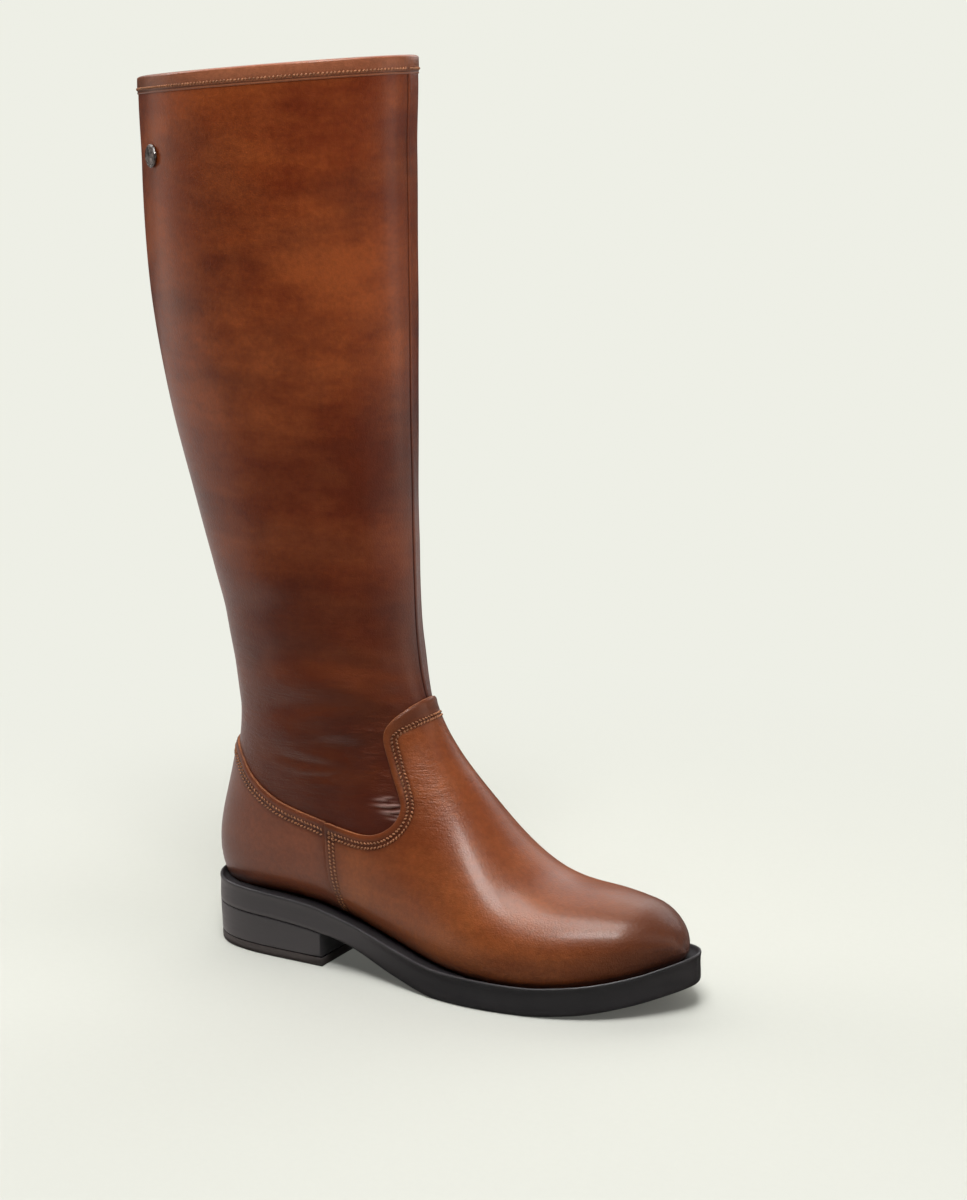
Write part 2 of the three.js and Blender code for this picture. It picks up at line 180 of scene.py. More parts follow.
def spline_line(knots, steps=24):
    """A Catmull-Rom line through knots, as the CAD draws an overlay's edge."""
    padded = np.vstack([knots[0], knots, knots[-1]])
    t = np.linspace(0, 1, steps, endpoint=False)[:, None]
    parts = []
    for i in range(1, len(padded) - 2):
        a, b, c, d = padded[i - 1:i + 3]
        v0, v1 = (c - a) / 2, (d - b) / 2
        parts.append((2 * b - 2 * c + v0 + v1) * t ** 3
                     + (-3 * b + 3 * c - 2 * v0 - v1) * t ** 2 + v0 * t + b)
    return np.vstack([*parts, knots[-1:]])


def ease(value, low, high):
    """0 below low, 1 above high, smooth between."""
    t = np.clip((value - low) / (high - low), 0, 1)
    return t * t * (3 - 2 * t)


def bell(distance, width):
    return np.exp(-(distance / width) ** 2)


# ------------------------------------------------------------------ the last
middles = (LAST[:, 0:2] + LAST[:, 2:4]) / 2
STATIONS = np.concatenate([[0], np.cumsum(np.hypot(*np.diff(middles, axis=0).T))])
COLLAR = STATIONS[-1]
last_row = smooth(STATIONS, LAST)


def skin(station, angle, out=0.0):
    """Points of the upper's surface, moved out by `out` mm. Angle 0 is at the front,
    a quarter turn is the lateral side. Stations below 0 are in the toe cap."""
    station, angle, out = np.broadcast_arrays(station, angle, np.asarray(out, float))
    turn = np.clip(-station / TOE_CAP, 0, 1) * math.pi / 2
    shrink = np.cos(turn)
    row = last_row(np.where(station < 0, -(TOE_CAP + out) * np.sin(turn), station))
    front, back = row[..., 0:2], row[..., 2:4]
    lateral, medial, middle_y, widest, front_power, back_power = np.moveaxis(row[..., 4:], -1, 0)
    reach = front - back
    grow = reach / np.linalg.norm(reach, axis=-1, keepdims=True) * out[..., None]
    front, back = front + grow, back - grow
    middle = front + (back - front) * widest[..., None]
    ahead, aside = np.cos(angle), np.sin(angle)
    power = np.where(ahead > 0, front_power, back_power)
    size = (np.abs(ahead) ** power + np.abs(aside) ** power) ** (-1 / power)
    end = np.where((ahead > 0)[..., None], front, back)
    point = middle + (end - middle) * (np.abs(ahead) * size)[..., None]
    half = np.where(aside > 0, lateral, medial) + out
    y = middle_y - half * aside * size * shrink
    z = np.where(station < 0, TOE_TIP + (point[..., 1] - TOE_TIP) * shrink, point[..., 1])
    return np.stack([point[..., 0], y, z], -1)


def outward(station, angle, out=0.0):
    """Unit normals of the skin, pointing out of the boot."""
    station, angle = np.broadcast_arrays(station, angle)
    along = skin(station + 0.05, angle, out) - skin(station - 0.05, angle, out)
    around = skin(station, angle + 0.002, out) - skin(station, angle - 0.002, out)
    normal = np.cross(along, around)
    return normal / np.maximum(np.linalg.norm(normal, axis=-1, keepdims=True), 1e-9)


def placed(points):
    """Pattern millimetres to the frame's metres."""
    return np.asarray(points) * SCALE + np.array([SOLE_LOW[0], 0, 0])


# ------------------------------------------------------------------ meshes
ROOT = "root"


def piece(name, points, faces, material, replaces=None, layers=None):
    """A mesh object of the boot, from pattern points and faces."""
    mesh = bpy.data.meshes.new(name)
    mesh.from_pydata(placed(points).tolist(), [], [list(map(int, face)) for face in faces])
    mesh.update()
    mesh.shade_smooth()
    for key, values in (layers or {}).items():
        layer = mesh.attributes.new(key, "FLOAT", "POINT")
        layer.data.foreach_set("value", np.asarray(values, np.float32).ravel())
    mesh.materials.append(material)
    thing = bpy.data.objects.new(name, mesh)
    bpy.context.scene.collection.objects.link(thing)
    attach(thing, ROOT)
    if replaces:
        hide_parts(*replaces)


def grid_faces(rows, columns, closed=True, flip=False):
    """Quads of a grid of points stored row by row, closed round each row or not."""
    i, j = np.meshgrid(np.arange(rows - 1), np.arange(columns if closed else columns - 1),
                       indexing="ij")
    a = i * columns + j
    b = i * columns + (j + 1) % columns
    faces = np.stack([a, b, b + columns, a + columns], -1).reshape(-1, 4)
    return faces[:, ::-1] if flip else faces


def clipped_grid(stations, angles, keep):
    """The part of a (station, angle) grid where keep > 0, cut along its zero line.

    Returns the vertices' (station, angle), the faces, and the cut as chains of vertices."""
    rows, columns = keep.shape
    at = np.stack(np.meshgrid(stations, angles, indexing="ij"), -1).reshape(-1, 2)
    value = keep.ravel()
    inside = value > 0
    corners = grid_faces(rows, columns, closed=False)
    count = inside[corners].sum(1)
    whole = corners[count == 4]
    crossings, extra, mixed, cuts = {}, [], [], []

    def crossing(a, b):
        key = (min(a, b), max(a, b))
        if key not in crossings:
            share = value[a] / (value[a] - value[b])
            crossings[key] = len(value) + len(extra)
            extra.append(at[a] + (at[b] - at[a]) * share)
        return crossings[key]

    for cell in corners[(count > 0) & (count < 4)]:
        face, ends = [], []
        for a, b in zip(cell, np.roll(cell, -1)):
            if inside[a]:
                face.append(a)
            if inside[a] != inside[b]:
                vertex = crossing(a, b)
                face.append(vertex)
                ends.append(vertex)
        mixed.append(face)
        if len(ends) == 2:
            cuts.append(ends)
    every = np.vstack([at, np.array(extra).reshape(-1, 2)])
    used = np.unique(np.concatenate([whole.ravel(), *[np.array(f) for f in mixed]]).astype(int))
    place = np.full(len(every), -1)
    place[used] = np.arange(len(used))
    faces = [place[face] for face in whole] + [place[np.array(face)] for face in mixed]
    return every[used], faces, [[int(place[v]) for v in chain] for chain in chains(cuts)]


def chains(pairs):
    """Joins pairs of vertices into runs, each in order."""
    beside = {}
    for a, b in pairs:
        beside.setdefault(a, []).append(b)
        beside.setdefault(b, []).append(a)
    runs, seen = [], set()
    starts = [v for v, near in beside.items() if len(near) == 1] + list(beside)
    for start in starts:
        if start in seen:
            continue
        run = [start]
        seen.add(start)
        while True:
            ahead = [v for v in beside[run[-1]] if v not in seen]
            if not ahead:
                break
            run.append(ahead[0])
            seen.add(ahead[0])
        if len(run) > 1:
            runs.append(run)
    return runs


def side_distance(points, outline):
    """Signed distance in the side view from points to an outline, positive inside."""
    x, z = points[..., 0], points[..., 2]
    starts = outline
    ends = np.roll(outline, -1, axis=0)
    nearest = np.full(x.shape, 1e9)
    within = np.zeros(x.shape, bool)
    for (ax, az), (bx, bz) in zip(starts, ends):
        length = (bx - ax) ** 2 + (bz - az) ** 2
        if length < 1e-12:
            continue
        t = np.clip(((x - ax) * (bx - ax) + (z - az) * (bz - az)) / length, 0, 1)
        nearest = np.minimum(nearest, np.hypot(x - ax - t * (bx - ax), z - az - t * (bz - az)))
        crosses = (az > z) != (bz > z)
        if az != bz:
            within ^= crosses & (x < (bx - ax) * (z - az) / (bz - az) + ax)
    return np.where(within, nearest, -nearest)


def distance_to(points, line):
    """Distance in space from points to a line given by close-set points."""
    tree = KDTree(len(line))
    for i, point in enumerate(line):
        tree.insert(point, i)
    tree.balance()
    flat = points.reshape(-1, 3)
    return np.array([tree.find(point)[2] for point in flat]).reshape(points.shape[:-1])


def resample(points, pitch):
    """Points spaced evenly along a line."""
    step = np.linalg.norm(np.diff(points, axis=0), axis=1)
    run = np.concatenate([[0], np.cumsum(step)])
    count = max(2, int(run[-1] / pitch) + 1)
    at = np.linspace(0, run[-1], count)
    return np.stack([np.interp(at, run, points[:, k]) for k in range(points.shape[1])], -1)


# ------------------------------------------------------------------ materials
def add(tree, kind, inputs=None, **settings):
    """A shader node; an input is given as a value or as another node's output."""
    node = tree.nodes.new("ShaderNode" + kind)
    for key, value in settings.items():
        setattr(node, key, value)
    for key, value in (inputs or {}).items():
        if isinstance(value, bpy.types.NodeSocket):
            tree.links.new(value, node.inputs[key])
        else:
            node.inputs[key].default_value = value
    return node


def new_material(name):
    material = bpy.data.materials.new(name)
    material.use_nodes = True
    tree = material.node_tree
    return material, tree, tree.nodes["Principled BSDF"]


def noise(tree, where, scale, stretch=(1, 1, 1), detail=3.0, rough=0.5):
    """Noise over object space, finer along an axis where stretch is larger."""
    mapped = add(tree, "Mapping", {"Vector": where, "Scale": stretch})
    return add(tree, "TexNoise", {"Vector": mapped.outputs[0], "Scale": scale,
                                  "Detail": detail, "Roughness": rough}).outputs["Fac"]


def level(tree, value, low, high, bottom=0.0, top=1.0):
    return add(tree, "MapRange", {"Value": value, "From Min": low, "From Max": high,
                                  "To Min": bottom, "To Max": top}).outputs[0]


def blend_colour(tree, share, first, second, mode="MIX"):
    node = add(tree, "Mix", data_type="RGBA", blend_type=mode)
    for key, value in ((0, share), (6, first), (7, second)):
        if isinstance(value, bpy.types.NodeSocket):
            tree.links.new(value, node.inputs[key])
        else:
            node.inputs[key].default_value = value
    return node.outputs[2]


def times(tree, first, second, operation="MULTIPLY"):
    return add(tree, "Math", {0: first, 1: second}, operation=operation).outputs[0]


def attribute(tree, name):
    return add(tree, "Attribute", attribute_name=name).outputs["Fac"]


def bump(tree, height, distance, strength, below=None):
    inputs = {"Height": height, "Distance": distance, "Strength": strength}
    if below is not None:
        inputs["Normal"] = below
    return add(tree, "Bump", inputs).outputs[0]


def leather(name, deep, main, bright, roughness=0.4, cloudy=0.55, polish=0.3):
    """Burnished calf: clouded dye, brushed streaks, pores and fine cross wrinkles.
    One mesh layer darkens it as burnishing and painted shade, another pales the crease
    ridges as a painted highlight, and the wrinkle layer raises the wrinkles."""
    material, tree, shader = new_material(name)
    where = add(tree, "TexCoord").outputs["Object"]
    clouds = noise(tree, where, 15, (1, 1, 1.1), 6, 0.62)
    streaks = noise(tree, where, 24, (0.6, 0.6, 2.4), 5, 0.65)
    mottle = noise(tree, where, 420, detail=4, rough=0.65)
    tone = times(tree, times(tree, clouds, 0.6), times(tree, streaks, 0.4), "ADD")
    colour = blend_colour(tree, level(tree, tone, 0.42, 0.61), main, bright)
    shade = noise(tree, add(tree, "VectorMath", {0: where, 1: (0.7, 0.3, 0.2)}).outputs[0],
                  12, (0.8, 0.8, 1.3), 5, 0.6)
    colour = blend_colour(tree, level(tree, shade, 0.46, 0.66, 0, cloudy), colour, deep)
    # Burnishing and painted shade: the mesh's darkening layer blends towards the deep tone.
    dark = times(tree, attribute(tree, "burnish_and_shade"), level(tree, mottle, 0.3, 0.7, 0.85, 1.15))
    colour = blend_colour(tree, dark, colour, deep)
    # Painted highlight: the crease ridges are paled towards a light mauve.
    colour = blend_colour(tree, attribute(tree, "crease_highlight"), colour, (0.40, 0.24, 0.21, 1))
    speckle = level(tree, mottle, 0.32, 0.68, 0.84, 1.12)
    grey = add(tree, "CombineColor", {0: speckle, 1: speckle, 2: speckle}).outputs[0]
    colour = blend_colour(tree, 1.0, colour, grey, "MULTIPLY")
    tree.links.new(colour, shader.inputs["Base Color"])
    wear = times(tree, times(tree, clouds, 0.5), times(tree, mottle, 0.5), "ADD")
    tree.links.new(level(tree, wear, 0.35, 0.65, roughness - 0.07, roughness + 0.08),
                   shader.inputs["Roughness"])
    shader.inputs["Coat Weight"].default_value = polish
    shader.inputs["Coat Roughness"].default_value = 0.24
    shader.inputs["Specular IOR Level"].default_value = 0.40
    shader.inputs["Specular Tint"].default_value = (1.0, 0.78, 0.66, 1)
    wrinkles = noise(tree, where, 110, (1, 1, 6), 6, 0.62)
    patches = level(tree, noise(tree, where, 38, detail=2), 0.34, 0.6, 0.15)
    cross = times(tree, wrinkles, times(tree, patches, attribute(tree, "wrinkle")))
    pores = add(tree, "TexVoronoi", {"Vector": where, "Scale": 1500.0}).outputs["Distance"]
    grain = noise(tree, where, 900, detail=3, rough=0.6)
    normal = bump(tree, cross, 0.0013, 0.6)
    normal = bump(tree, grain, 0.00022, 0.7, normal)
    normal = bump(tree, pores, 0.0001, 0.5, normal)
    tree.links.new(normal, shader.inputs["Normal"])
    return material


def fibrous(name, colour, dark, fine, soil, roughness, lift):
    """Matte stuff of short fibres: a hide's cut edge, or waxed twisted thread."""
    material, tree, shader = new_material(name)
    where = add(tree, "TexCoord").outputs["Object"]
    fibres = noise(tree, where, **fine)
    tone = level(tree, times(tree, fibres, noise(tree, where, **soil), "ADD"), 0.8, 1.2)
    tree.links.new(blend_colour(tree, tone, dark, colour), shader.inputs["Base Color"])
    shader.inputs["Roughness"].default_value = roughness
    tree.links.new(bump(tree, fibres, 0.0002, lift), shader.inputs["Normal"])
    return material


def rubber(name, colour, worn, roughness=0.40):
    """Moulded rubber: a fine spark-eroded skin, faint flow marks and dull scuffs."""
    material, tree, shader = new_material(name)
    where = add(tree, "TexCoord").outputs["Object"]
    skin_noise = noise(tree, where, 1600, detail=3, rough=0.6)
    flow = noise(tree, where, 45, (1, 1, 5), 4, 0.6)
    scuffs = noise(tree, where, 220, (1, 1, 3), 5, 0.7)
    tone = level(tree, scuffs, 0.55, 0.8)
    colour = blend_colour(tree, level(tree, flow, 0.3, 0.7, 0, 0.55), colour, worn)
    tree.links.new(blend_colour(tree, times(tree, tone, 0.5), colour, worn),
                   shader.inputs["Base Color"])
    tree.links.new(level(tree, times(tree, flow, scuffs, "ADD"), 0.7, 1.3,
                         roughness - 0.06, roughness + 0.12), shader.inputs["Roughness"])
    shader.inputs["Specular IOR Level"].default_value = 0.6
    normal = bump(tree, flow, 0.0003, 0.25)
    normal = bump(tree, skin_noise, 0.00006, 0.45, normal)
    tree.links.new(normal, shader.inputs["Normal"])
    return material


def dark_nickel(name):
    """Darkened nickel, lightly hammered and tarnished in patches."""
    material, tree, shader = new_material(name)
    where = add(tree, "TexCoord").outputs["Object"]
    tarnish = noise(tree, where, 300, detail=5, rough=0.65)
    brushed = noise(tree, where, 900, (1, 1, 8), 3)
    tree.links.new(blend_colour(tree, level(tree, tarnish, 0.35, 0.65), (0.05, 0.048, 0.046, 1),
                                (0.38, 0.36, 0.34, 1)), shader.inputs["Base Color"])
    shader.inputs["Metallic"].default_value = 1.0
    tree.links.new(level(tree, brushed, 0.3, 0.7, 0.28, 0.5), shader.inputs["Roughness"])
    hammered = add(tree, "TexVoronoi", {"Vector": where, "Scale": 620.0}).outputs["Distance"]
    normal = bump(tree, hammered, 0.0006, 0.8, bump(tree, brushed, 0.00005, 0.4))
    tree.links.new(normal, shader.inputs["Normal"])
    return material


SHAFT_LEATHER = leather("shaft_leather", (0.034, 0.006, 0.004, 1), (0.135, 0.017, 0.001, 1),
                        (0.265, 0.052, 0.007, 1), 0.40)
VAMP_LEATHER = leather("vamp_leather", (0.055, 0.015, 0.008, 1), (0.185, 0.040, 0.009, 1),
                       (0.275, 0.072, 0.017, 1), 0.41, 0.25)
COUNTER_LEATHER = leather("counter_leather", (0.050, 0.015, 0.010, 1), (0.165, 0.040, 0.015, 1),
                          (0.225, 0.060, 0.023, 1), 0.42, 0.3)
BINDING_LEATHER = leather("binding_leather", (0.070, 0.020, 0.009, 1), (0.235, 0.070, 0.030, 1),
                          (0.300, 0.098, 0.045, 1), 0.40, 0.3)
LINING_LEATHER = leather("lining_leather", (0.20, 0.125, 0.075, 1), (0.36, 0.25, 0.16, 1),
                         (0.42, 0.30, 0.20, 1), 0.62, 0.2, 0.0)
RAW_EDGE = fibrous("raw_edge", (0.33, 0.105, 0.028, 1), (0.15, 0.045, 0.014, 1),
                   {"scale": 1400, "detail": 4, "rough": 0.7}, {"scale": 90, "detail": 2}, 0.75, 0.5)
THREAD = fibrous("thread", (0.41, 0.16, 0.064, 1), (0.20, 0.075, 0.029, 1),
                 {"scale": 2600, "detail": 2}, {"scale": 120, "detail": 3}, 0.6, 0.6)
SOLE_RUBBER = rubber("sole_rubber", (0.026, 0.0235, 0.0255, 1), (0.038, 0.034, 0.036, 1))
LIFT_RUBBER = rubber("lift_rubber", (0.034, 0.025, 0.023, 1), (0.046, 0.036, 0.032, 1), 0.6)
STUD_METAL = dark_nickel("stud_metal")


# ------------------------------------------------------------------ the upper
# Soft folds of the shaft: a row each, with its height, the angle of its middle, how far
# it runs round (both in degrees), how wide and deep it is in mm, and how it slopes.
FOLDS = [
    # height, middle, reach, width, depth, slope in mm a degree
    (205, 60, 55, 9, 0.55, 0.10),
    (178, 118, 50, 8, 0.75, -0.12),
    (152, 52, 42, 7, 0.85, 0.16),
    (131, 96, 58, 7, 0.95, -0.10),
    (112, 60, 40, 5, 0.75, 0.22),
    (141, 38, 26, 3.5, 0.40, 0.18),
    (123, 74, 34, 3.2, 0.45, -0.12),
    (104, 88, 28, 2.6, 0.40, 0.10),
    (97, 74, 20, 2.0, 0.35, -0.06),
    (117, 42, 18, 2.2, 0.35, 0.12),
    (107, 50, 14, 1.5, 0.30, 0.05),
    (190, -70, 60, 9, 0.45, 0.10),
    (150, -60, 45, 7, 0.60, -0.15),
    (124, -100, 55, 7, 0.60, 0.10),
]
# Tight creases in the hollow behind the lobe, where the ankle bends.
CREASES = [
    (89.4, 57, 3.5, 0.50, 0.50, -0.16),
    (88.0, 59, 4.4, 0.60, 0.80, -0.10),
    (86.0, 57, 3.2, 0.60, 0.75, -0.14),
    (85.0, 61, 4.6, 0.65, 0.90, -0.05),
    (83.0, 60, 3.4, 0.60, 0.70, -0.10),
    (81.6, 62, 4.0, 0.55, 0.60, 0.02),
]


def folded(points, angle, rows):
    """Troughs with a soft ridge either side, in mm outwards."""
    degrees = np.degrees((angle + math.pi) % (2 * math.pi) - math.pi)
    total = np.zeros(points.shape[:-1])
    for height, middle, reach, width, depth, slope in rows:
        off = degrees - middle
        across = points[..., 2] - height - slope * off
        fade = bell(off, reach * 0.6)
        ridges = 0.70 * bell(np.abs(across) - 1.7 * width, width)
        total += depth * fade * (ridges - bell(across, width))
    return total


def shaft_relief(points, angle):
    """Folds, the front and back seams and a slight unevenness, in mm outwards."""
    y, z = points[..., 1], points[..., 2]
    front = np.cos(angle) > 0.6
    back = np.cos(angle) < -0.6
    seam = front * (0.30 * bell(y - 2.0, 1.5) - 0.7 * bell(y - 0.2, 0.36))
    seam += back * (0.25 * bell(np.abs(y) - 2.0, 1.4) - 0.7 * bell(y, 0.5))
    uneven = (0.30 * np.sin(z / 31 + 2.0 * angle) + 0.22 * np.sin(z / 17 - 3.0 * angle + 1.3)
              + 0.15 * np.sin(z / 9.5 + 4.0 * angle + 0.4))
    lower = 1 - 0.6 * ease(z, 180, 330)
    return folded(points, angle, FOLDS + CREASES) + seam + uneven * lower * 0.8


def shaft_angles():
    """Angles round the shaft, closer together at the front seam and by the creases."""
    fine = np.linspace(0, 2 * math.pi, 4001)
    density = 1 + 3 * bell(np.abs(fine - 0.02), 0.05) + 1.0 * bell(fine - 1.03, 0.25)
    density += 3 * bell(fine - 2 * math.pi, 0.05)
    run = np.concatenate([[0], np.cumsum((density[1:] + density[:-1]) / 2)])
    return np.interp(np.linspace(0, run[-1], 340, endpoint=False), run, fine)


def shaft():
    rings = np.concatenate([np.linspace(118, 132, 8)[:-1], np.linspace(132, 212, 126)[:-1],
                            np.linspace(212, COLLAR, 142)])
    around = shaft_angles()
    station, angle = np.meshgrid(rings, around, indexing="ij")
    base = skin(station, angle)
    relief = shaft_relief(base, angle) * (1 - 0.6 * ease(station, COLLAR - 12, COLLAR))
    relief = relief + 1.0 * ease(station, COLLAR - 42, COLLAR - 8)
    face = base + outward(station, angle) * relief[..., None]
    inner_rings = np.linspace(COLLAR, 118, 12)
    inner = skin(*np.meshgrid(inner_rings, around, indexing="ij"), out=-1.1)
    points = np.vstack([face.reshape(-1, 3), inner.reshape(-1, 3)])
    faces = grid_faces(len(rings) + len(inner_rings), len(around), flip=True)
    z, x = points[:, 2], points[:, 0]
    turn = np.concatenate([angle.ravel(), np.tile(around, len(inner_rings))])
    y, front = points[:, 1], np.cos(turn) > 0.5
    # Darker along the front seam, towards the bottom of the shaft and just under the collar.
    burnish_and_shade = (0.12 * bell(y, 6.0) + 0.6 * bell(y - 0.2, 0.5)) * front
    burnish_and_shade += 0.30 * ease(-z, -330, -230) + 0.35 * ease(-z, -230, -110)
    burnish_and_shade += 0.08 * ease(z, 405, 436)
    wrinkle = 0.05 + 0.95 * ease(-z, -200, -110)
    # Painted highlight on the crease ridges: the shaft's crease ridges get a paler colour.
    ridges = np.zeros(len(points))
    ridges[:face[..., 0].size] = folded(base, angle, CREASES).ravel()
    piece("shaft", points, faces, SHAFT_LEATHER, ["upper"],
          layers={"burnish_and_shade": np.clip(burnish_and_shade, 0, 1), "wrinkle": wrinkle,
                  "crease_highlight": np.clip(1.4 * ridges, 0, 0.62)})


def lining():
    """The leather lining, from the collar down to the toe."""
    toe = -TOE_CAP * np.linspace(0.96, 0.1, 8)
    rings = np.concatenate([toe, np.linspace(0, COLLAR - 0.4, 110)])
    around = np.linspace(0, 2 * math.pi, 120, endpoint=False)
    outer = skin(*np.meshgrid(rings, around, indexing="ij"), out=-1.2)
    inner = skin(*np.meshgrid(rings[::-1], around, indexing="ij"), out=-WALL)
    points = np.vstack([outer.reshape(-1, 3), inner.reshape(-1, 3)])
    rows = 2 * len(rings)
    faces = list(grid_faces(rows, len(around), flip=True))
    closing = grid_faces(2, len(around))
    last = (rows - 1) * len(around)
    wrap = np.where(closing >= len(around), closing - len(around) + last, closing)
    z = points[:, 2]
    # Painted shade: the lining darkens lower down, deep inside the boot.
    piece("lining", points, faces + list(wrap), LINING_LEATHER,
          layers={"burnish_and_shade": 0.35 * ease(z, 120, 30), "wrinkle": 0.3 + 0 * z})


def binding():
    """The folded collar binding, with a rounded top and a low edge let into the wall."""
    low = COLLAR - BINDING_HEIGHT
    outer, inner, top = GAP + BINDING, -WALL - GAP - BINDING, COLLAR + GAP
    middle, radius = (outer + inner) / 2, (outer - inner) / 2
    bend = np.linspace(0, math.pi, 13)
    arch = [(top + BINDING * math.sin(t), middle + radius * math.cos(t)) for t in bend]
    profile = [(low + 0.5, 0.1), (low + 0.1, 0.6), (low, outer - 0.5), (low + 0.2, outer - 0.12),
               (low + 0.7, outer), (low + 1.2, outer - 0.25), (low + 1.7, outer),
               (low + 2.5, outer - 0.15), (low + 3.3, outer), (low + 5.2, outer),
               *arch, (low + 4.5, inner), (low + 2, inner), (low + 0.4, inner + 0.1),
               (low, inner + 0.7), (low + 0.5, -WALL + 0.1)]
    around = np.linspace(0, 2 * math.pi, 360, endpoint=False)
    station = np.array([row[0] for row in profile])[:, None]
    out = np.array([row[1] for row in profile])[:, None]
    points = skin(station, around[None, :], out)
    pull = 0.05 * np.sin(around * 41) * bell(station - (low + 4), 1.6)
    points = points + outward(station, around[None, :]) * pull[..., None]
    faces = grid_faces(len(profile), len(around), flip=True)
    flat = points.reshape(-1, 3)
    rows = 0.9 * bell(station - (low + 1.2), 0.3) + 0.5 * bell(station - (low + 2.5), 0.5)
    outside = np.broadcast_to(rows * (out > 0.3), points.shape[:2]).ravel()
    dark = 0.15 * bell(flat[:, 1], 6) + outside + 0.45 * ease(-flat[:, 0], -40, 10)
    piece("collar_binding_leather", flat, faces, BINDING_LEATHER,
          ["collar_binding"], layers={"burnish_and_shade": np.clip(dark, 0, 1), "wrinkle": 0.25 + 0 * dark})
    row = np.full(720, low + 2.5)
    turns = np.linspace(0.03, 2 * math.pi - 0.03, 720)
    stitches.append((skin(row, turns, outer), outward(row, turns)))


# ------------------------------------------------------------------ overlays
VAMP_LINE, COUNTER_LINE, SEAM_LINE = map(spline_line, (VAMP_EDGE, COUNTER_EDGE, SIDE_SEAM))
VAMP_OUTLINE = np.vstack([VAMP_LINE, SEAM_LINE[1:], [(84, -40), (330, -40), (330, 137.5)]])
COUNTER_OUTLINE = np.vstack([COUNTER_LINE, [(-60, 108), (-60, -40), (84, -40)],
                             SEAM_LINE[:0:-1]]) - [GAP, 0]
stitches = []


def overlay(name, rings, around, outline, seam, edge_line, material, node, burnish_and_shade, lap):
    """Leather laid over the upper inside an outline drawn from the side.

    `lap` is how far its side seam rises over what it meets."""
    station, angle = np.meshgrid(rings, around, indexing="ij")
    base = skin(station, angle)
    keep = side_distance(base, outline)
    at, faces, cuts = clipped_grid(rings, around, keep)
    lines = [skin(at[cut, 0], at[cut, 1], PROUD) for cut in cuts]
    flat = skin(at[:, 0], at[:, 1], PROUD)
    cut_points = np.vstack(lines)
    side = cut_points[:, [0, 2]]
    to_edge = np.min(np.linalg.norm(side[:, None] - edge_line[None], axis=2), axis=1)
    to_seam = np.min(np.linalg.norm(side[:, None] - seam[None], axis=2), axis=1)
    edge = cut_points[to_edge <= to_seam]
    seam_points = cut_points[to_seam < to_edge]
    from_edge = distance_to(flat, edge)
    from_seam = distance_to(flat, seam_points)

    def inset(points):
        return STITCH_INSET + TAB_INSET * ease(points[..., 2], 117, 130)

    relief = -0.35 * bell(np.minimum(from_edge, from_seam), 0.45)
    relief += lap * bell(from_seam, 4.0)
    rows = [(from_edge - inset(flat), 0), (from_edge - inset(flat) - ROW_SPACING, 0)]
    if lap > 0:
        rows += [(from_seam - row, 1) for row in SEAM_ROWS]
    past_seam = from_seam > 1.2
    past_edge = from_edge > inset(flat) - 0.5
    holes = np.zeros(len(flat))
    for row, kind in rows:
        allowed = past_edge if kind else past_seam
        relief -= 0.26 * bell(row, 0.8) * allowed
        holes += 0.5 * bell(row, 0.95) * allowed
    relief += 0.16 * bell(from_edge - 1.6, 1.2)
    normal = outward(at[:, 0], at[:, 1])
    points = flat + normal * relief[:, None]
    shade = burnish_and_shade(points, from_edge, from_seam) + holes
    wrinkle = 0.16 + 0.5 * ease(points[:, 2], 60, 120)
    piece(name, points, [np.asarray(face)[::-1] for face in faces], material, [node],
          layers={"burnish_and_shade": np.clip(shade, 0, 1), "wrinkle": wrinkle})
    edges(name + "_cut_edge", at, points, cuts)
    # The rows of stitches are level lines of the distance from the cut.
    whole = skin(station, angle, PROUD)
    edge_map = distance_to(whole, edge)
    seam_map = distance_to(whole, seam_points)
    for k, (_, kind) in enumerate(rows):
        if kind:
            field = seam_map - SEAM_ROWS[k - 2]
        else:
            field = edge_map - inset(whole) - k * ROW_SPACING
        places, _, found = clipped_grid(rings, around, np.where(keep > -1, field, -1.0))
        for chain in found:
            s, a = places[chain].T
            line = skin(s, a, PROUD)
            here = side_distance(line, outline) > 0.8
            near_edge = distance_to(line, edge)
            near_seam = distance_to(line, seam_points)
            here &= (near_edge > inset(line) - 0.6) if kind else (near_seam > 0.9)
            here &= line[:, 2] > lip_height(line[:, 0]) + 0.5
            for run in np.split(np.arange(len(line)), np.where(~here)[0]):
                run = run[here[run]]
                if len(run) > 4:
                    stitches.append((line[run], outward(s[run], a[run])))


def edges(name, at, points, cuts):
    """The raw cut edge of an overlay: a narrow rounded strip down to the upper."""
    rows, faces, start = [], [], 0
    for cut in cuts:
        top = points[cut]
        normal = outward(at[cut, 0], at[cut, 1])
        along = np.gradient(top, axis=0)
        away = np.cross(along, normal)
        away /= np.maximum(np.linalg.norm(away, axis=1, keepdims=True), 1e-9)
        inside = points.mean(axis=0)
        if np.mean(np.sum(away * (top - inside), axis=1)) < 0:
            away = -away
        strip = [top, top + away * 0.16 - normal * 0.18, top + away * 0.22 - normal * 0.7,
                 top + away * 0.12 - normal * (PROUD + 0.2)]
        rows.append(np.vstack(strip))
        faces.append(grid_faces(len(strip), len(cut), closed=False) + start)
        start += len(strip) * len(cut)
    piece(name, np.vstack(rows), np.vstack(faces), RAW_EDGE)


def vamp_burnish_and_shade(points, from_edge, from_seam):
    x, z = points[:, 0], points[:, 2]
    toe = 0.85 * ease(x, 208, 254)
    # Painted shade where the upper meets the sole's lip.
    painted_sole_shade = 0.12 * bell(np.maximum(z - lip_height(x), 0), 6)
    seam = 0.38 * bell(from_seam, 9) + 0.25 * bell(from_edge, 8)
    seam += 0.35 * ease(z, 118, 128) + 0.22 * bell(from_edge - 5.0, 2.0)
    return toe + painted_sole_shade + seam


